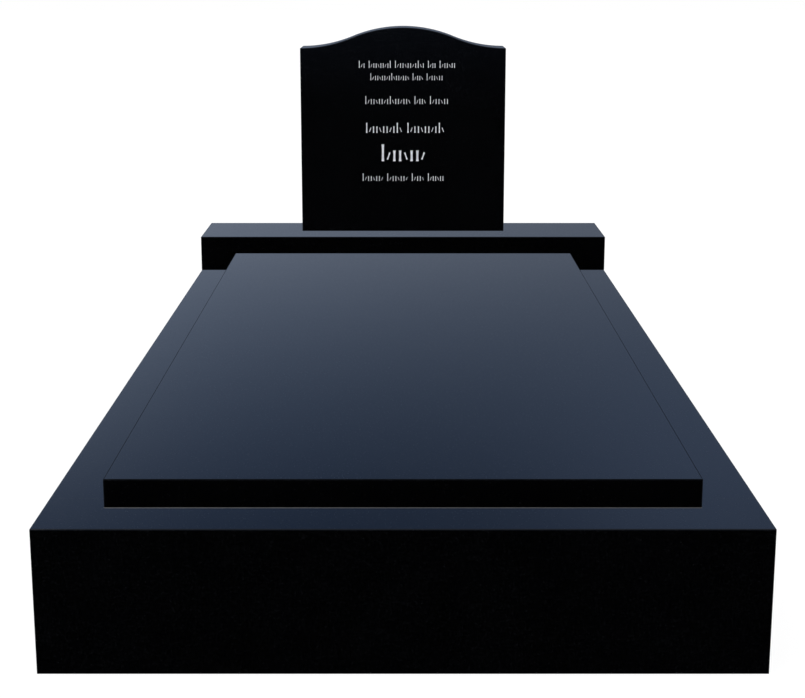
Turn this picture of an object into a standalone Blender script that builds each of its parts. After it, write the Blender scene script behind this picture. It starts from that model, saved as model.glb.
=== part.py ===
# A kerbed grave memorial of polished black granite: an upright headstone with a serpentine
# top stands on a base stone, and a ledger slab lies in front of it, all on four kerb stones.
# Metres. +X runs to the right across the plot, +Y towards its head end, +Z up. The origin is
# on the ground in the middle of the plot.

import math
from collections import namedtuple

import bmesh
import bpy
from mathutils import Vector

# Plot and kerb
PLOT_WIDTH = 1.200
PLOT_LENGTH = 2.500
KERB_HEIGHT = 0.250
KERB_WIDTH = 0.150  # thickness of the side and foot kerb stones

# Ledger slab
LEDGER_THICKNESS = 0.050
LEDGER_BEARING = 0.0485  # how far the kerb stones reach under the slab, on every side

# Headstone, and the bare ledges that it leaves on its base
STONE_WIDTH = 0.610
STONE_THICKNESS = 0.152
STONE_HEIGHT = 0.607  # base to crest
CREST_RISE = 0.060  # crest above the shoulders
BASE_HEIGHT = 0.100
FRONT_LEDGE = 0.107
BACK_LEDGE = 0.006

# Edges and joints
ARRIS = 0.002  # width of the small chamfer along every polished edge
JOINT = 0.0003  # open joint between stones that touch
ARC_STEPS = 10  # straight steps in each of the four arcs of the top

# Inscription: chiselled strokes with a V section. Lengths are shares of the tall strokes'
# height in the same row.
SHORT_STROKE = 0.64  # height of a short upright stroke
SLANT_FOOT = 0.10
SLANT_TOP = 0.52
SLANT_LEAN = 0.075  # how far each end of a slanting stroke leans from its middle
SLANT_WEIGHT = 0.62  # width of a slanting stroke, as a share of an upright one's
STROKE_SPACING = 0.34
WORD_GAP = 0.38
SLANT_EVERY = 3  # the second stroke of every three slants
TALL_EVERY = 9  # the first stroke of every nine is tall, so every word opens with one
V_DEPTH = 0.45  # depth of a stroke, as a share of its width
CUTTER_PROUD = 0.0002  # how far a cutter stands out of the face

# Granite: how light each stone is, from the outside in
SHADES = {
    "kerb_foot": 0.0040,
    "kerb_right": 0.0044,
    "kerb_left": 0.0045,
    "kerb_head": 0.0050,
    "ledger": 0.0055,
    "headstone_base": 0.0060,
    "headstone": 0.0048,
}
POLISH_ROUGHNESS = 0.07
TINT = (1.0, 1.1, 1.3)  # red, green and blue of a stone, for a shade of 1

# Foot and tall strokes as shares of the stone's height, the width of an upright stroke as a
# share of its row's tall strokes, middle and word lengths as shares of the stone's width.
# Rows go from top to bottom.
Row = namedtuple("Row", "foot tall weight middle words")
ROWS = (
    Row(0.806, 0.0350, 0.088, 0.019, (0.035, 0.114, 0.148, 0.043, 0.082)),
    Row(0.746, 0.0340, 0.085, 0.017, (0.193, 0.055, 0.085)),
    Row(0.630, 0.0390, 0.085, 0.018, (0.226, 0.060, 0.097)),
    Row(0.489, 0.0500, 0.110, 0.009, (0.183, 0.188)),
    Row(0.349, 0.0840, 0.135, 0.000, (0.226,)),
    Row(0.251, 0.0375, 0.098, 0.000, (0.107, 0.107, 0.066, 0.084)),
)

# Sizes that follow from the ones above
BASE_DEPTH = FRONT_LEDGE + STONE_THICKNESS + BACK_LEDGE
RIGHT = PLOT_WIDTH / 2
HEAD = PLOT_LENGTH / 2
BASE_FRONT = HEAD - BASE_DEPTH
STONE_FRONT = BASE_FRONT + FRONT_LEDGE
LEDGER_MARGIN = KERB_WIDTH - LEDGER_BEARING
BASE_FOOT = KERB_HEIGHT + JOINT
STONE_FOOT = BASE_FOOT + BASE_HEIGHT + JOINT
SHOULDER_HEIGHT = STONE_HEIGHT - CREST_RISE

# Outward directions of the sides that may be left sawn, without an arris
SAWN_SIDES = {
    "foot": Vector((0, -1, 0)),
    "head": Vector((0, 1, 0)),
    "under": Vector((0, 0, -1)),
}
SAME_WAY = 0.9  # cosine above which a face looks along a side's direction
SMOOTH_TURN = math.radians(20)  # a flatter edge is part of a curve, shaded smooth


def clear_scene():
    for item in list(bpy.data.objects):
        bpy.data.objects.remove(item, do_unlink=True)


def polished_granite(stone_name):
    """Near-black polished granite for one stone."""
    material = bpy.data.materials.new(stone_name + "_granite")
    material.use_nodes = True
    shader = material.node_tree.nodes["Principled BSDF"]
    colour = [SHADES[stone_name] * part for part in TINT]
    shader.inputs["Base Color"].default_value = (*colour, 1.0)
    shader.inputs["Roughness"].default_value = POLISH_ROUGHNESS
    shader.inputs["Metallic"].default_value = 0.0
    return material


def add_mesh(name, bm):
    """Turn a finished bmesh into an object with its faces pointing out."""
    bmesh.ops.recalc_face_normals(bm, faces=bm.faces)
    mesh = bpy.data.meshes.new(name)
    bm.to_mesh(mesh)
    bm.free()
    item = bpy.data.objects.new(name, mesh)
    bpy.context.collection.objects.link(item)
    return item


def add_stone(name, bm):
    stone = add_mesh(name, bm)
    stone.data.materials.append(polished_granite(name))
    return stone


def ease_edges(bm, edges):
    """Take the arris off the given edges."""
    bmesh.ops.bevel(bm, geom=edges, offset=ARRIS, segments=1, affect="EDGES",
                    clamp_overlap=True)


def slab(name, low, high, sawn):
    """A block between two corners; the edges around the sides named in sawn stay sharp."""
    bm = bmesh.new()
    bmesh.ops.create_cube(bm, size=1.0)
    for vert in bm.verts:
        for axis in range(3):
            vert.co[axis] = high[axis] if vert.co[axis] > 0 else low[axis]
    bm.normal_update()
    sharp_edges = set()
    for face in bm.faces:
        if any(face.normal.dot(SAWN_SIDES[side]) > SAME_WAY for side in sawn):
            sharp_edges.update(face.edges)
    ease_edges(bm, [edge for edge in bm.edges if edge not in sharp_edges])
    return add_stone(name, bm)


def kerb_stones():
    """Head and foot kerbs run the full width; the side kerbs butt between them."""
    head_inner = BASE_FRONT - LEDGER_BEARING
    foot_inner = KERB_WIDTH - HEAD
    slab("kerb_head", (-RIGHT, head_inner, 0), (RIGHT, HEAD, KERB_HEIGHT), ("foot", "under"))
    slab("kerb_foot", (-RIGHT, -HEAD, 0), (RIGHT, foot_inner, KERB_HEIGHT), ("head", "under"))
    near = foot_inner + JOINT
    far = head_inner - JOINT
    inner = RIGHT - KERB_WIDTH
    butted = ("head", "foot", "under")
    slab("kerb_left", (-RIGHT, near, 0), (-inner, far, KERB_HEIGHT), butted)
    slab("kerb_right", (inner, near, 0), (RIGHT, far, KERB_HEIGHT), butted)


def ledger():
    """The cover slab lies on all four kerb stones and ends against the base."""
    side = RIGHT - LEDGER_MARGIN
    low = (-side, LEDGER_MARGIN - HEAD, KERB_HEIGHT + JOINT)
    high = (side, BASE_FRONT - JOINT, KERB_HEIGHT + JOINT + LEDGER_THICKNESS)
    slab("ledger", low, high, ("head", "under"))


def headstone_base():
    """The base is flush with the kerb at both sides and at the back."""
    low = (-RIGHT, BASE_FRONT, BASE_FOOT)
    high = (RIGHT, HEAD, BASE_FOOT + BASE_HEIGHT)
    slab("headstone_base", low, high, ("under",))


def serpentine_top():
    """Points along the top from the right shoulder to the left one.

    Each flank is two equal arcs: one bulges over the crest, the other hollows out to the
    shoulder, level at both ends, and they meet halfway along the flank.
    """
    half = STONE_WIDTH / 2
    radius = (half ** 2 + CREST_RISE ** 2) / (4 * CREST_RISE)
    sweep = math.asin(half / 2 / radius)
    right_flank = []
    for step in range(ARC_STEPS):
        turn = sweep * step / ARC_STEPS
        right_flank.append((half - radius * math.sin(turn), radius * (1 - math.cos(turn))))
    for step in range(ARC_STEPS):
        turn = sweep * (1 - step / ARC_STEPS)
        right_flank.append((radius * math.sin(turn), CREST_RISE - radius * (1 - math.cos(turn))))
    crest = [(0.0, CREST_RISE)]
    left_flank = [(-x, z) for x, z in reversed(right_flank)]
    shoulder = STONE_FOOT + SHOULDER_HEIGHT
    return [(x, shoulder + z) for x, z in right_flank + crest + left_flank]


def headstone_blank():
    """The headstone before it is inscribed."""
    half = STONE_WIDTH / 2
    outline = [(-half, STONE_FOOT), (half, STONE_FOOT)] + serpentine_top()
    bm = bmesh.new()
    front = bm.faces.new([bm.verts.new((x, STONE_FRONT, z)) for x, z in outline])
    grown = bmesh.ops.extrude_face_region(bm, geom=[front])
    back = [item for item in grown["geom"] if isinstance(item, bmesh.types.BMVert)]
    bmesh.ops.translate(bm, verts=back, vec=(0, STONE_THICKNESS, 0))
    bm.normal_update()
    rim = []
    for edge in bm.edges:
        on_foot = all(vert.co.z < STONE_FOOT + ARRIS for vert in edge.verts)
        if edge.calc_face_angle() > SMOOTH_TURN and not on_foot:
            rim.append(edge)
    ease_edges(bm, rim)
    stone = add_stone("headstone", bm)
    stone.data.shade_smooth()
    stone.data.set_sharp_from_angle(angle=SMOOTH_TURN)
    return stone


def stroke_ends(number, x, foot, tall, width):
    """Foot, head and width of the stroke with this number in its word.

    Uprights stand on the row's foot, some of them tall and most of them short. Slanting
    strokes lean to either side in turn. No two strokes touch.
    """
    if number % SLANT_EVERY == 1:
        lean = SLANT_LEAN * tall if number % 2 else -SLANT_LEAN * tall
        low = (x - lean, foot + SLANT_FOOT * tall)
        high = (x + lean, foot + SLANT_TOP * tall)
        return low, high, SLANT_WEIGHT * width
    height = tall if number % TALL_EVERY == 0 else SHORT_STROKE * tall
    return (x, foot), (x, foot + height), width


def add_stroke(bm, low, high, width):
    """One cutter: a hipped V along the stroke, its open side just proud of the face."""
    start = Vector((low[0], 0, low[1]))
    end = Vector((high[0], 0, high[1]))
    along = (end - start).normalized()
    across = Vector((along.z, 0, -along.x))
    half = width / 2
    deep = V_DEPTH * width
    flare = half * CUTTER_PROUD / deep
    mouth = []
    for point, outward in ((start, -along), (end, along)):
        for side in (-across, across):
            corner = point + outward * flare + side * (half + flare)
            mouth.append(bm.verts.new((corner.x, STONE_FRONT - CUTTER_PROUD, corner.z)))
    keel = []
    for point, inward in ((start, along), (end, -along)):
        spot = point + inward * half
        keel.append(bm.verts.new((spot.x, STONE_FRONT + deep, spot.z)))
    low_left, low_right, high_left, high_right = mouth
    bm.faces.new((low_left, low_right, high_right, high_left))
    bm.faces.new((low_left, keel[0], low_right))
    bm.faces.new((high_right, keel[1], high_left))
    bm.faces.new((low_left, high_left, keel[1], keel[0]))
    bm.faces.new((low_right, keel[0], keel[1], high_right))


def inscription_cutter():
    """All the strokes as one cutter, row by row and word by word."""
    bm = bmesh.new()
    for row in ROWS:
        tall = row.tall * STONE_HEIGHT
        foot = STONE_FOOT + row.foot * STONE_HEIGHT
        lengths = [share * STONE_WIDTH for share in row.words]
        gap = WORD_GAP * tall
        x = row.middle * STONE_WIDTH - (sum(lengths) + gap * (len(lengths) - 1)) / 2
        for length in lengths:
            count = max(2, round(length / (STROKE_SPACING * tall)))
            step = length / count
            for number in range(count):
                centre = x + step * (number + 0.5)
                add_stroke(bm, *stroke_ends(number, centre, foot, tall, row.weight * tall))
            x += length + gap
    cutter = add_mesh("inscription_cutter", bm)
    cutter.display_type = "WIRE"
    cutter.hide_render = True
    return cutter


def headstone():
    stone = headstone_blank()
    cutter = inscription_cutter()
    cutter.parent = stone
    carve = stone.modifiers.new("inscription", "BOOLEAN")
    carve.operation = "DIFFERENCE"
    carve.solver = "EXACT"
    carve.object = cutter


clear_scene()
kerb_stones()
ledger()
headstone_base()
headstone()
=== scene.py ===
# Looks of a kerbed grave memorial: stones of polished black granite with rounded arrises,
# an inscription of painted V-cut strokes, and mastic in the joints. Lengths are in metres and
# the dictionaries' angles in degrees. +X runs to the right across the plot, +Y towards the
# headstone, +Z up.

import math

import bmesh
import bpy
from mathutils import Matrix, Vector


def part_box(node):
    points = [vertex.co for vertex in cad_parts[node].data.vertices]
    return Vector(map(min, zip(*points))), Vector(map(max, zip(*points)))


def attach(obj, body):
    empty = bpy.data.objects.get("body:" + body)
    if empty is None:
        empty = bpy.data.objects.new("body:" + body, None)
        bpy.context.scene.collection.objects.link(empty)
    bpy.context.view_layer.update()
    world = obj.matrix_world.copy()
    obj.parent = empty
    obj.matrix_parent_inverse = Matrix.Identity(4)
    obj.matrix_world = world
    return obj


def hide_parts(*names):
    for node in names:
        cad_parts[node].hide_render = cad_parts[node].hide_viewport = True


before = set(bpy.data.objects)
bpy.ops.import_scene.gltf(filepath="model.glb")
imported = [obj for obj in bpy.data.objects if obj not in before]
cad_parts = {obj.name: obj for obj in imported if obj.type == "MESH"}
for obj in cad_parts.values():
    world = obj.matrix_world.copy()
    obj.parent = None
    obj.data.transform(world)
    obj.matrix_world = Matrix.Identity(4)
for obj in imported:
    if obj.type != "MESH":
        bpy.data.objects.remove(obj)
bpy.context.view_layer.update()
print("frame loaded:", len(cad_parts), "stones")


class Wire:
    # A shader socket that can stand in a Python sum. Each operator adds one Math node.

    def __init__(self, graph, socket):
        self.graph = graph
        self.socket = socket

    def __add__(self, other):
        return self.graph.maths("ADD", self, other)

    def __sub__(self, other):
        return self.graph.maths("SUBTRACT", self, other)

    def __mul__(self, other):
        return self.graph.maths("MULTIPLY", self, other)

    def __pow__(self, other):
        return self.graph.maths("POWER", self, other)

    def __radd__(self, other):
        return self.graph.maths("ADD", other, self)

    def __rsub__(self, other):
        return self.graph.maths("SUBTRACT", other, self)

    def __rmul__(self, other):
        return self.graph.maths("MULTIPLY", other, self)

    def __rpow__(self, other):
        return self.graph.maths("POWER", other, self)


class Graph:
    # The node tree of one material, or of the world.

    def __init__(self, owner):
        owner.use_nodes = True
        self.tree = owner.node_tree
        self.tree.nodes.clear()

    def node(self, kind, settings=None, sockets=None, output=0):
        made = self.tree.nodes.new(kind)
        for name, value in (settings or {}).items():
            setattr(made, name, value)
        for name, value in (sockets or {}).items():
            if isinstance(value, Wire):
                self.tree.links.new(value.socket, made.inputs[name])
            else:
                made.inputs[name].default_value = value
        return Wire(self, made.outputs[output]) if len(made.outputs) else None

    def maths(self, operation, first, second):
        return self.node("ShaderNodeMath", {"operation": operation}, {0: first, 1: second})

    def vector(self, operation, first, second, output="Vector"):
        settings = {"operation": operation}
        return self.node("ShaderNodeVectorMath", settings, {0: first, 1: second}, output)

    def scale(self, tint, factor):
        sockets = {0: tint, "Scale": factor}
        return self.node("ShaderNodeVectorMath", {"operation": "SCALE"}, sockets)

    def blend(self, share, low, high):
        return self.node("ShaderNodeMix", {"data_type": "RGBA"}, {0: share, 6: low, 7: high}, 2)

    def ramp(self, value, start, end, low=0.0, high=1.0):
        # A straight run from low to high between start and end, level outside them
        sockets = {"Value": value, "From Min": start, "From Max": end}
        sockets.update({"To Min": low, "To Max": high})
        return self.node("ShaderNodeMapRange", {"clamp": True}, sockets)

    def place(self, offset=(0.0, 0.0, 0.0)):
        # Where a point lies on its stone; the offset gives each stone its own cut of the rock
        spot = self.node("ShaderNodeTexCoord", output="Object")
        return self.vector("ADD", spot, offset)

    def noise(self, place, size, detail=2.0):
        # Cloudy values from 0 to 1 around 0.5, with lumps of this size
        sockets = {"Vector": place, "Scale": 1 / size, "Detail": detail}
        return self.node("ShaderNodeTexNoise", None, sockets)

    def crystals(self, place, size):
        # A colour drawn by lot for each crystal of this size
        sockets = {"Vector": place, "Scale": 1 / size}
        return self.node("ShaderNodeTexVoronoi", None, sockets, "Color")

    def channel(self, tint, name):
        return self.node("ShaderNodeSeparateColor", None, {"Color": tint}, name)

    def surface(self, body, roughness, relief, gloss=0.5):
        # An opaque finish; relief is a height in metres
        normal = self.node("ShaderNodeBump", None, {"Distance": 1.0, "Height": relief})
        sockets = {"Base Color": body, "Roughness": roughness, "Normal": normal}
        sockets["Specular IOR Level"] = gloss
        return self.node("ShaderNodeBsdfPrincipled", None, sockets)


def colour(red, green, blue):
    return (red, green, blue, 1.0)


def newMaterial(name, build):
    material = bpy.data.materials.new(name)
    graph = Graph(material)
    shader = build(graph)
    graph.node("ShaderNodeOutputMaterial", None, {"Surface": shader})
    return material


# Camera

camera = {
    "place": (0.0, -3.656, 1.128),
    "down": 12.535,  # pitch below level
    "lens": 70.81,  # in millimetres, as the sensor
    "sensor": 36.0,
    "shift": (-0.0006, -0.0355),
}


def makeCamera():
    lens = bpy.data.cameras.new("camera")
    lens.sensor_fit = "HORIZONTAL"
    lens.sensor_width = camera["sensor"]
    lens.lens = camera["lens"]
    lens.shift_x, lens.shift_y = camera["shift"]
    item = bpy.data.objects.new("camera", lens)
    item.location = camera["place"]
    item.rotation_euler = (math.radians(90 - camera["down"]), 0, 0)
    bpy.context.collection.objects.link(item)
    bpy.context.scene.camera = item


makeCamera()
print("camera set")

# Granite: near-black, with fine crystals, a few of them silvery, and cloudy drifts

granite = {
    "dark": (0.00036, 0.0004, 0.0005),
    "fleck": (0.0062, 0.0066, 0.0078),
    "crystal": 0.0011,
    "fleckShare": 0.11,  # share of silvery crystals
    "fleckFaint": 0.4,  # the faintest of them against the brightest
    "cloud": 0.09,
    "cloudDetail": 4.0,
    "cloudSwing": 0.5,
    "glintShare": 0.06,  # share of crystals that take a poorer polish
    "glintRough": 0.22,
    "grain": 0.0016,
    "grainHeight": 0.000004,
    "wave": 0.14,  # slow swells left by the polishing heads
    "waveDetail": 0.0,
    "waveHeight": 0.00005,
}

# Each finish has its roughness, how far that swings over the surface, the shader's specular
# level, and how many times as pale as polished stone it looks
finishes = {
    "polished": {"roughness": 0.045, "swing": 0.045, "gloss": 0.5, "paler": 1.0},
    "honed": {"roughness": 0.50, "swing": 0.12, "gloss": 0.045, "paler": 3.0},
}


def graniteFinish(finish, offset, shade):
    look, dressing = granite, finishes[finish]
    light = shade * dressing["paler"]
    dark = colour(*(part * light for part in look["dark"]))
    pale = colour(*(part * light for part in look["fleck"]))

    def build(graph):
        place = graph.place(offset)
        crystals = graph.crystals(place, look["crystal"])
        lot, tone = graph.channel(crystals, "Red"), graph.channel(crystals, "Green")
        cloud = graph.noise(place, look["cloud"], look["cloudDetail"])
        faint = look["fleckFaint"]
        fleck = graph.ramp(lot, 1 - look["fleckShare"], 1.0) * (faint + (1 - faint) * tone)
        drift = 1 + look["cloudSwing"] * (cloud * 2 - 1)
        body = graph.scale(graph.blend(fleck, dark, pale), drift)
        glint = graph.ramp(tone, 1 - look["glintShare"], 1.0)
        roughness = dressing["roughness"] + dressing["swing"] * ((tone + cloud) * 0.5)
        roughness = roughness + look["glintRough"] * glint
        grain = graph.noise(place, look["grain"]) * look["grainHeight"]
        wave = graph.noise(place, look["wave"], look["waveDetail"]) * look["waveHeight"]
        return graph.surface(body, roughness, grain + wave, dressing["gloss"])

    return build


# Sawn granite: the unpolished sides, which other stones or the ground hide

sawn = {
    "pale": colour(0.125, 0.128, 0.132),
    "deep": colour(0.055, 0.057, 0.060),
    "crystal": 0.0016,
    "crystalShare": 0.7,  # their say in the colour; cloudy drifts have the rest
    "drift": 0.05,
    "driftDetail": 3.0,
    "kerf": 0.004,  # spacing of the saw's lines, along an axis
    "band": math.pi / 5,  # spacing that the wave node gives them at scale 1
    "wander": 1.5,
    "kerfHeight": 0.00012,
    "pitHeight": 0.00008,
    "roughness": 0.78,
    "swing": 0.12,
}


def sawnGranite(graph):
    look = sawn
    place = graph.place()
    lot = graph.channel(graph.crystals(place, look["crystal"]), "Red")
    drift = graph.noise(place, look["drift"], look["driftDetail"])
    mottle = look["crystalShare"] * lot + (1 - look["crystalShare"]) * drift
    body = graph.blend(mottle, look["deep"], look["pale"])
    lines = {"Vector": place, "Scale": look["band"] / look["kerf"], "Distortion": look["wander"]}
    kerfs = graph.node("ShaderNodeTexWave", {"bands_direction": "DIAGONAL"}, lines, "Fac")
    relief = kerfs * look["kerfHeight"] + lot * look["pitHeight"]
    return graph.surface(body, look["roughness"] + look["swing"] * drift, relief)


# Paint in the inscription's V cuts

paint = {
    "fresh": colour(0.80, 0.81, 0.83),
    "worn": colour(0.58, 0.60, 0.64),
    "patch": 0.006,
    "patchDetail": 4.0,
    "wear": (0.35, 0.75),  # cloud values over which it turns from fresh to worn
    "grit": 0.0009,
    "gritDetail": 3.0,
    "gritHeight": 0.00004,
    "roughness": 0.52,
    "swing": 0.2,
}


def inscriptionPaint(graph):
    look = paint
    place = graph.place()
    patches = graph.noise(place, look["patch"], look["patchDetail"])
    body = graph.blend(graph.ramp(patches, *look["wear"]), look["fresh"], look["worn"])
    grit = graph.noise(place, look["grit"], look["gritDetail"]) * look["gritHeight"]
    return graph.surface(body, look["roughness"] + look["swing"] * patches, grit)


sawnLook = newMaterial("sawn_granite", sawnGranite)
paintLook = newMaterial("inscription_paint", inscriptionPaint)
print("stone and paint materials made")

# What all pieces share

arris = {
    "width": 0.002,
    "steps": 3,
    "profile": 0.5,  # round
    "sharp": 38,  # an edge that turns by more stays sharp
    "flatWeight": 100,  # lets the flat faces set the shading beside them
}


def newObject(name, bm):
    mesh = bpy.data.meshes.new(name)
    bm.to_mesh(mesh)
    bm.free()
    item = bpy.data.objects.new(name, mesh)
    bpy.context.collection.objects.link(item)
    return item


def closeTube(bm, rings):
    # A cap on both ends, and a band of faces from each ring of points to the next one
    bm.faces.new(rings[0])
    bm.faces.new(rings[-1])
    for ring, following in zip(rings, rings[1:]):
        for number in range(len(ring)):
            after = (number + 1) % len(ring)
            bm.faces.new([ring[number], following[number], following[after], ring[after]])


def setInPlace(piece):
    # Round stretches shade round, and no other stone mirrors the piece
    piece.data.shade_smooth()
    piece.data.set_sharp_from_angle(angle=math.radians(arris["sharp"]))
    piece.visible_glossy = False
    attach(piece, "root")


# Stones

sides = {
    "left": Vector((-1, 0, 0)),
    "right": Vector((1, 0, 0)),
    "foot": Vector((0, -1, 0)),
    "head": Vector((0, 1, 0)),
    "under": Vector((0, 0, -1)),
}

flatOn = 0.999  # cosine above which a face looks straight along a side's direction
finishSlot = {"polished": 0, "sawn": 1, "honed": 2, "painted": 2}  # no stone has both of the last


def ease(bm, edges, finish):
    bmesh.ops.bevel(bm, geom=edges, offset=arris["width"], segments=arris["steps"],
                    profile=arris["profile"], affect="EDGES", clamp_overlap=True,
                    material=finishSlot[finish])


def looksAlong(face, names):
    return any(face.normal.dot(sides[name]) > flatOn for name in names)


def saw(bm, names):
    # Leave the sides with these names as the saw left them
    bmesh.ops.recalc_face_normals(bm, faces=bm.faces)
    for face in bm.faces:
        if looksAlong(face, names):
            face.material_index = finishSlot["sawn"]


def newStone(node, bm, look):
    stone = newObject(node + "_stone", bm)
    polish = graniteFinish("polished", look["offset"], look["shade"])
    stone.data.materials.append(newMaterial(node + "_polish", polish))
    stone.data.materials.append(sawnLook)
    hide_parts(node)
    return stone


def finishStone(stone):
    even = stone.modifiers.new("flat faces", "WEIGHTED_NORMAL")
    even.weight = arris["flatWeight"]
    even.keep_sharp = True
    setInPlace(stone)


def slab(node, look, butted, hidden=(), arrisFinish="polished"):
    # A block with rounded arrises, except around its butted sides. Hidden sides are sawn too.
    low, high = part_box(node)
    bm = bmesh.new()
    bmesh.ops.create_cube(bm, size=1.0)
    for vert in bm.verts:
        for axis in range(3):
            vert.co[axis] = high[axis] if vert.co[axis] > 0 else low[axis]
    bm.normal_update()
    keen = {edge for face in bm.faces if looksAlong(face, butted) for edge in face.edges}
    ease(bm, [edge for edge in bm.edges if edge not in keen], arrisFinish)
    saw(bm, butted + hidden)
    return newStone(node, bm, look)


kerb = {
    "slot": "kerb_granite",
    "offset": (3.1, 1.7, 0.4),  # from one kerb stone's cut of the rock to the next one's
    "shade": 1.0,  # how many times as pale as the granite's own colours
    "butted": {
        "kerb_foot": ("head", "under"),
        "kerb_head": ("foot", "under"),
        "kerb_left": ("foot", "head", "under"),
        "kerb_right": ("foot", "head", "under"),
    },
    "hidden": {"kerb_left": ("right",), "kerb_right": ("left",)},
}
ledger = {
    "slot": "ledger_granite",
    "offset": (0.6, 5.3, 1.2),
    "shade": 1.1,
    "butted": ("head", "under"),
    "arris": "honed",
}
base = {
    "slot": "base_granite",
    "offset": (4.4, 0.7, 2.9),
    "shade": 1.15,
    "hidden": ("under",),
}


def makeKerb():
    for number, (node, butted) in enumerate(kerb["butted"].items()):
        look = dict(kerb, offset=Vector(kerb["offset"]) * number)
        finishStone(slab(node, look, butted, kerb["hidden"].get(node, ())))


def makeLedger():
    stone = slab("ledger", ledger, ledger["butted"], arrisFinish=ledger["arris"])
    dressed = graniteFinish(ledger["arris"], ledger["offset"], ledger["shade"])
    stone.data.materials.append(newMaterial("ledger_arris", dressed))
    finishStone(stone)


makeKerb()
makeLedger()
finishStone(slab("headstone_base", base, (), base["hidden"]))
print("kerb, ledger and base dressed")

# Headstone

headstone = {
    "slot": "headstone_granite",
    "offset": (2.3, 8.1, 3.7),
    # painted sheen: the headstone's granite is twice as pale as the kerb's, which lightens its
    # polished faces
    "shade": 2.0,
    "arcSteps": 24,  # in each of the top's four arcs
    "digits": 5,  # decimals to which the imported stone's corners are read
    "inset": 0.010,  # the strokes stay further than this inside the face's outline
    "shallow": 0.0003,  # the bottoms of the V cuts lie deeper than this behind the face
    "deep": 0.006,  # and less deep than this
    "cutDepth": 0.45,  # of a stroke, as a share of its width
    "waist": 0.84,  # width at the middle of a stroke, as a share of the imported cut's
    "flare": 1.16,  # width at its ends, as a share of the same
    "stations": 7,  # along a stroke
    "proud": 0.0002,  # how far a cutter stands out of the face
}


def cadCorners():
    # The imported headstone's vertices, rounded so that those of neighbouring faces agree
    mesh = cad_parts["headstone"].data
    return [tuple(round(part, headstone["digits"]) for part in vert.co) for vert in mesh.vertices]


def shoulderHeight():
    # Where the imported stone's flanks end, at its sides
    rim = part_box("headstone")[1].x - 2 * arris["width"]
    return max(z for x, y, z in cadCorners() if x > rim)


def serpentine(half, shoulder, crest):
    # From the right shoulder to the left one: each flank is two equal arcs, level at both
    # ends, that meet halfway
    rise = crest - shoulder
    radius = (half ** 2 + rise ** 2) / (4 * rise)
    sweep = math.asin(half / 2 / radius)
    steps = headstone["arcSteps"]
    flank = []
    for step in range(steps):
        turn = sweep * step / steps
        flank.append((half - radius * math.sin(turn), shoulder + radius * (1 - math.cos(turn))))
    for step in range(steps):
        turn = sweep * (1 - step / steps)
        flank.append((radius * math.sin(turn), crest - radius * (1 - math.cos(turn))))
    return flank + [(0.0, crest)] + [(-x, z) for x, z in reversed(flank)]


def headstoneBlank():
    low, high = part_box("headstone")
    outline = [(low.x, low.z), (high.x, low.z)]
    outline += serpentine(high.x, shoulderHeight(), high.z)
    bm = bmesh.new()
    front = bm.faces.new([bm.verts.new((x, low.y, z)) for x, z in outline])
    grown = bmesh.ops.extrude_face_region(bm, geom=[front])
    back = [item for item in grown["geom"] if isinstance(item, bmesh.types.BMVert)]
    bmesh.ops.translate(bm, verts=back, vec=(0, high.y - low.y, 0))
    bm.normal_update()
    rim = []
    for edge in bm.edges:
        onFoot = all(vert.co.z < low.z + arris["width"] for vert in edge.verts)
        if edge.calc_face_angle() > math.radians(arris["sharp"]) and not onFoot:
            rim.append(edge)
    ease(bm, rim, "polished")
    saw(bm, ("under",))
    return newStone("headstone", bm, headstone)


def keels():
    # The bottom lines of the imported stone's V cuts, as pairs of points
    low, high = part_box("headstone")
    corners = cadCorners()
    top = shoulderHeight() - headstone["inset"]

    def isKeel(spot):
        x, y, z = spot
        behind = headstone["shallow"] < y - low.y < headstone["deep"]
        return behind and abs(x) < high.x - headstone["inset"] and low.z < z < top

    pairs = set()
    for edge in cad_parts["headstone"].data.edges:
        ends = [corners[number] for number in edge.vertices]
        if all(isKeel(spot) for spot in ends) and ends[0] != ends[1]:
            pairs.add(tuple(sorted(ends, key=lambda spot: (spot[2], spot[0]))))
    return sorted(pairs)


def addStroke(bm, bottom, top, front):
    # A closed V-shaped cutter, widest at both ends and hipped there
    start, end = Vector(bottom), Vector(top)
    along = (end - start).normalized()
    across = Vector((along.z, 0, -along.x))
    slope = 2 * headstone["cutDepth"]
    half = (start.y - front) / slope
    mouthStart, mouthEnd = start - along * half, end + along * half
    waist, flare, proud = headstone["waist"], headstone["flare"], headstone["proud"]
    rings = []
    for number in range(headstone["stations"]):
        share = number / (headstone["stations"] - 1)
        bow = (2 * share - 1) ** 2  # from 1 at the ends to 0 halfway
        width = half * (waist + (flare - waist) * bow)
        lip = width + proud / slope
        mouth, low = mouthStart.lerp(mouthEnd, share), start.lerp(end, share)
        left, right = (bm.verts.new((mouth.x + side * across.x * lip, front - proud,
                                     mouth.z + side * across.z * lip)) for side in (-1, 1))
        keel = bm.verts.new((low.x, front + width * slope, low.z))
        rings.append([left, keel, right])
    closeTube(bm, rings)


def carve(stone):
    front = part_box("headstone")[0].y
    strokes = keels()
    bm = bmesh.new()
    for bottom, top in strokes:
        addStroke(bm, bottom, top, front)
    bmesh.ops.recalc_face_normals(bm, faces=bm.faces)
    for face in bm.faces:
        face.material_index = finishSlot["painted"]
    cutter = newObject("strokes", bm)
    stone.data.materials.append(paintLook)
    for material in stone.data.materials:
        cutter.data.materials.append(material)
    cut = stone.modifiers.new("strokes", "BOOLEAN")
    cut.operation = "DIFFERENCE"
    cut.solver = "EXACT"
    cut.object = cutter
    view = bpy.context.evaluated_depsgraph_get()
    carved = bpy.data.meshes.new_from_object(stone.evaluated_get(view))
    stone.modifiers.remove(cut)
    stone.data = carved
    bpy.data.objects.remove(cutter, do_unlink=True)
    print("headstone carved:", len(strokes), "strokes,", len(carved.polygons), "faces")


upright = headstoneBlank()
carve(upright)
finishStone(upright)

# Mastic: a grey bead along the ledger's foot and sides, near-black fillings in the other joints

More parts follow.
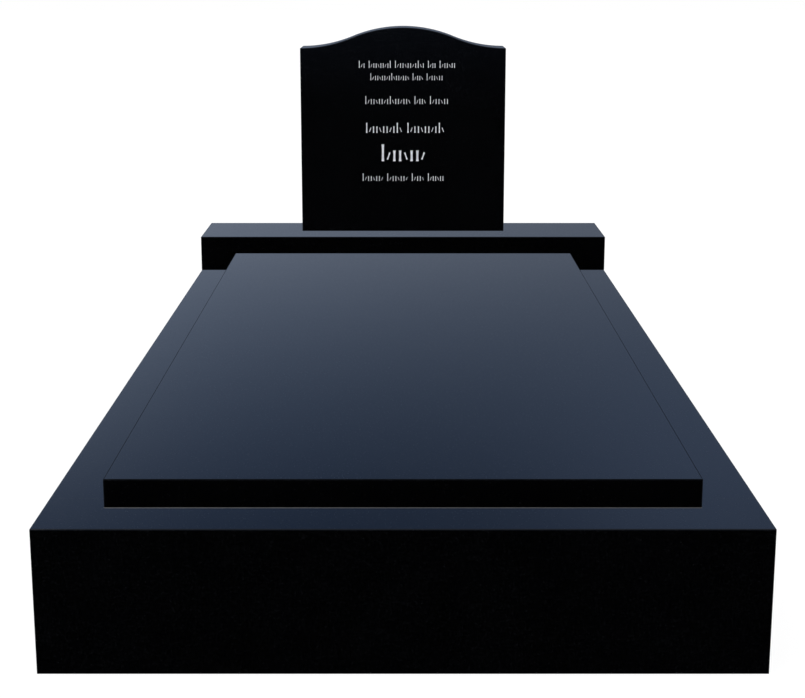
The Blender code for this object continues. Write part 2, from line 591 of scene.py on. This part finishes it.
mastic = {
    "grey": {"tint": (0.058, 0.057, 0.056), "gloss": 0.5},
    "black": {"tint": (0.0022, 0.0023, 0.0026), "gloss": 0.08},
    "lumps": 0.008,
    "lumpDetail": 3.0,
    "lumpHeight": 0.0001,
    "mottle": 0.3,  # how much lighter or darker it gets
    "roughness": 0.42,
    "swing": 0.2,
    "beadRise": 0.0016,  # up the ledger's side
    "beadReach": 0.0006,  # out from it
    "beadSteps": 3,
    "cornerSteps": 3,
    "recess": 0.003,  # of a filling behind the stones' faces
    "tuck": 0.0001,  # how far mastic reaches into the stones
    "groove": {"base_bed": {"recess": 0.0006, "tuck": 0.0009}},  # between two rounded arrises
    "hollow": 0.0004,  # of a filling's rim, as a wetted finger leaves it
    "rimSteps": 4,
    "fillings": {
        "headstone_bed": ("headstone", "headstone_base"),
        "base_bed": ("headstone_base", "kerb_head"),
        "ledger_end_joint": ("ledger", "headstone_base"),
        "foot_left_joint": ("kerb_foot", "kerb_left"),
        "foot_right_joint": ("kerb_foot", "kerb_right"),
        "head_left_joint": ("kerb_head", "kerb_left"),
        "head_right_joint": ("kerb_head", "kerb_right"),
    },
}


def masticLook(kind):
    look = mastic

    def build(graph):
        lumps = graph.noise(graph.place(), look["lumps"], look["lumpDetail"])
        body = graph.scale(kind["tint"], 1 + look["mottle"] - 2 * look["mottle"] * lumps)
        roughness = look["roughness"] + look["swing"] * lumps
        return graph.surface(body, roughness, lumps * look["lumpHeight"], kind["gloss"])

    return build


greyMastic = newMaterial("grey_mastic", masticLook(mastic["grey"]))
blackMastic = newMaterial("black_mastic", masticLook(mastic["black"]))


def newMastic(name, bm, material):
    bmesh.ops.recalc_face_normals(bm, faces=bm.faces)
    piece = newObject(name, bm)
    piece.data.materials.append(material)
    setInPlace(piece)


def jointBox(first, second, depths):
    # The corners of the mastic between two stones that face each other, and the axis across it
    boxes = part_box(first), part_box(second)
    low, high, across = [], [], None
    for axis in range(3):
        start = max(box[0][axis] for box in boxes)
        end = min(box[1][axis] for box in boxes)
        if start > end:
            low.append(end - depths["tuck"])
            high.append(start + depths["tuck"])
            across = axis
        else:
            low.append(start + depths["recess"])
            high.append(end - depths["recess"])
    return low, high, across


def fill(name, first, second):
    # A bed of mastic with its rim hollowed all round
    low, high, across = jointBox(first, second, mastic["groove"].get(name, mastic))
    one, other = (axis for axis in range(3) if axis != across)
    steps = mastic["rimSteps"]
    bm = bmesh.new()
    rings = []
    for step in range(steps + 1):
        hollow = mastic["hollow"] * math.sin(math.pi * step / steps)
        ring = []
        for far, up in ((0, 0), (1, 0), (1, 1), (0, 1)):
            spot = Vector()
            spot[across] = low[across] + (high[across] - low[across]) * step / steps
            spot[one] = high[one] - hollow if far else low[one] + hollow
            spot[other] = high[other] - hollow if up else low[other] + hollow
            ring.append(bm.verts.new(spot))
        rings.append(ring)
    closeTube(bm, rings)
    newMastic(name, bm, blackMastic)


def cornerArc(x, y, height, startAngle):
    # A quarter turn round a vertical arris, anticlockwise about its centre
    points = []
    for step in range(mastic["cornerSteps"] + 1):
        angle = math.radians(startAngle + 90 * step / mastic["cornerSteps"])
        points.append(Vector((x + arris["width"] * math.cos(angle),
                              y + arris["width"] * math.sin(angle), height)))
    return points


def beadSection():
    # Pairs of reach out from the wall and rise: a hollow fillet, as a wetted finger leaves it
    reach, rise, tuck = mastic["beadReach"], mastic["beadRise"], mastic["tuck"]
    section = [(-tuck, -tuck), (reach, -tuck)]
    for step in range(mastic["beadSteps"] + 1):
        angle = math.radians(90 * step / mastic["beadSteps"])
        section.append((reach * (1 - math.sin(angle)), rise * (1 - math.cos(angle))))
    return section + [(-tuck, rise)]


def wayOut(before, spot, after):
    # Mitred direction away from the wall, which is on the left of the path
    normals = []
    for first, second in ((before, spot), (spot, after)):
        if first is not None and second is not None:
            way = (second - first).normalized()
            normals.append(Vector((way.y, -way.x, 0)))
    if len(normals) == 1:
        return normals[0]
    return (normals[0] + normals[1]) / (1 + normals[0].dot(normals[1]))


def ledgerBead():
    low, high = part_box("ledger")
    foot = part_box("kerb_foot")[1].z
    edge = arris["width"]
    path = [Vector((low.x, high.y, foot))]
    path += cornerArc(low.x + edge, low.y + edge, foot, 180)
    path += cornerArc(high.x - edge, low.y + edge, foot, 270)
    path.append(Vector((high.x, high.y, foot)))
    section = beadSection()
    last = len(path) - 1
    bm = bmesh.new()
    rings = []
    for number, spot in enumerate(path):
        before = path[number - 1] if number else None
        after = path[number + 1] if number < last else None
        out = wayOut(before, spot, after)
        rings.append([bm.verts.new(spot + out * reach + Vector((0, 0, rise)))
                      for reach, rise in section])
    closeTube(bm, rings)
    newMastic("ledger_bead", bm, greyMastic)


for name, pair in mastic["fillings"].items():
    fill(name, *pair)
ledgerBead()
print("joints pointed")

# Floor

floor = {
    "half": 40.0,
    "body": colour(0.16, 0.16, 0.16),
    "light": colour(1.0, 1.0, 1.0),
    "glow": 0.88,  # its own light, which keeps the shadow on it faint
}


def floorLook(graph):
    return graph.node("ShaderNodeBsdfPrincipled", None, {
        "Base Color": floor["body"],
        "Roughness": 1.0,
        "Specular IOR Level": 0.0,
        "Emission Color": floor["light"],
        "Emission Strength": floor["glow"],
    })


def makeFloor():
    half = floor["half"]
    mesh = bpy.data.meshes.new("floor")
    mesh.from_pydata([(-half, -half, 0), (half, -half, 0), (half, half, 0), (-half, half, 0)],
                     [], [(0, 1, 2, 3)])
    item = bpy.data.objects.new("floor", mesh)
    bpy.context.collection.objects.link(item)
    mesh.materials.append(newMaterial("floor", floorLook))
    item.visible_glossy = False


# Light: a white dome for matt surfaces. Polished ones mirror a dusk-blue sky that glows along
# the horizon, brighter to the left, with two soft panels behind the headstone. Everywhere but
# there a paler studio adds to it, which darkens in front of the memorial.

sky = {
    "seen": colour(1.0, 1.0, 1.0),
    "dome": colour(1.10, 1.10, 1.12),
    "horizon": (0.884, 0.809, 0.775),
    "fade": (0.130, 0.165, 0.245),  # rise over which each colour falls to a third
    "leftGain": 1.6,  # brightness gained for each unit of way to the left
    "leftRange": (0.5, 1.5),  # least and most, far to the right and far to the left
    "skirt": (-0.087, 0.165),  # rise over which the glow comes up from below the horizon
    "skirtPower": (2.34, 2.05, 1.70),
    "panels": (
        {"turn": -15.1, "rise": 13.6, "spread": 200, "glow": (0.115, 0.123, 0.129)},
        {"turn": 12.7, "rise": 19.9, "spread": 122, "glow": (0.096, 0.130, 0.206)},
    ),
    "skyline": (-0.02, 0.02),  # rise over which the studio's low part gives way to its high part
    "studioHigh": (0.49, 0.56, 0.68),
    "climb": (0.0, 0.45, 0.55),  # rise over which it brightens, from this share
    "zenith": (0.55, 1.0, 0.5),  # rise over which it fades again, to this share
    "studioLow": (0.80, 0.86, 0.94),
    "lowFade": 0.5,  # depth below the horizon over which it falls to a third
    "ahead": (0.62, 0.90),  # northing over which the studio ends
    "behind": (0.30, 0.80),  # southing over which it darkens, wholly below the horizon
    "hazeShare": 0.7,  # and by this share above it
    "hazeTop": (0.60, 0.90),  # rise over which that share runs out
}


def fall(height, reach):
    return math.e ** (height * (-1 / reach))


def panelLobes(graph, way):
    # How near a direction is to each panel's middle, from 1 down to nothing
    lobes = []
    for panel in sky["panels"]:
        turn, lift = math.radians(panel["turn"]), math.radians(panel["rise"])
        middle = (math.sin(turn) * math.cos(lift), math.cos(turn) * math.cos(lift), math.sin(lift))
        near = graph.vector("DOT_PRODUCT", way, middle, "Value")
        lobes.append(math.e ** (panel["spread"] * (near - 1)))
    return lobes


def studio(graph, north, rise):
    # Strength of the studio's high part and of its low part
    above = graph.ramp(rise, *sky["skyline"])
    around = 1 - graph.ramp(north, *sky["ahead"])
    dark = graph.ramp(north * -1, *sky["behind"])
    haze = dark * graph.ramp(rise, *sky["hazeTop"], sky["hazeShare"], 0.0)
    start, peak, startShare = sky["climb"]
    crown, end, endShare = sky["zenith"]
    climb = graph.ramp(rise, start, peak, startShare, 1.0)
    high = climb * graph.ramp(rise, crown, end, 1.0, endShare) * above * around * (1 - haze)
    low = fall(rise * -1, sky["lowFade"]) * (1 - above) * around * (1 - dark)
    return high, low


def mirroredSky(graph):
    way = graph.node("ShaderNodeTexCoord", output="Generated")
    right, north, rise = (graph.node("ShaderNodeSeparateXYZ", None, {"Vector": way}, axis)
                          for axis in "XYZ")
    least, most = sky["leftRange"]
    reach = (most - 1) / sky["leftGain"]
    side = graph.ramp(right, -reach, reach, most, least)
    skirt = graph.ramp(rise, *sky["skirt"])
    lobes = panelLobes(graph, way)
    high, low = studio(graph, north, rise)
    channels = {}
    for number, name in enumerate(("Red", "Green", "Blue")):
        glow = sky["horizon"][number] * fall(rise, sky["fade"][number])
        light = glow * side * skirt ** sky["skirtPower"][number]
        for panel, lobe in zip(sky["panels"], lobes):
            light = light + panel["glow"][number] * lobe
        channels[name] = light + sky["studioHigh"][number] * high + sky["studioLow"][number] * low
    return graph.node("ShaderNodeCombineColor", None, channels)


def makeSky():
    world = bpy.data.worlds.new("sky")
    world.cycles.sampling_method = "NONE"  # so that each kind of ray finds its own light
    bpy.context.scene.world = world
    graph = Graph(world)
    onGloss = graph.node("ShaderNodeLightPath", output="Is Glossy Ray")
    onCamera = graph.node("ShaderNodeLightPath", output="Is Camera Ray")
    lit = graph.blend(onGloss, sky["dome"], mirroredSky(graph))
    seen = graph.blend(onCamera, lit, sky["seen"])
    shader = graph.node("ShaderNodeBackground", None, {"Color": seen})
    graph.node("ShaderNodeOutputWorld", None, {"Surface": shader})


lamp = {
    "place": (-2.7, -3.3, 3.7),
    "aim": (0.0, 0.6, 0.4),
    "size": 2.0,
    "power": 70.0,  # watts
}


def makeLamp():
    light = bpy.data.lights.new("soft_lamp", "AREA")
    light.size = lamp["size"]
    light.energy = lamp["power"]
    item = bpy.data.objects.new("soft_lamp", light)
    item.location = lamp["place"]
    way = Vector(lamp["aim"]) - Vector(lamp["place"])
    item.rotation_euler = way.to_track_quat("-Z", "Y").to_euler()
    bpy.context.collection.objects.link(item)


makeFloor()
makeSky()
makeLamp()
bpy.context.scene.view_settings.view_transform = "Standard"
print("floor and light set")
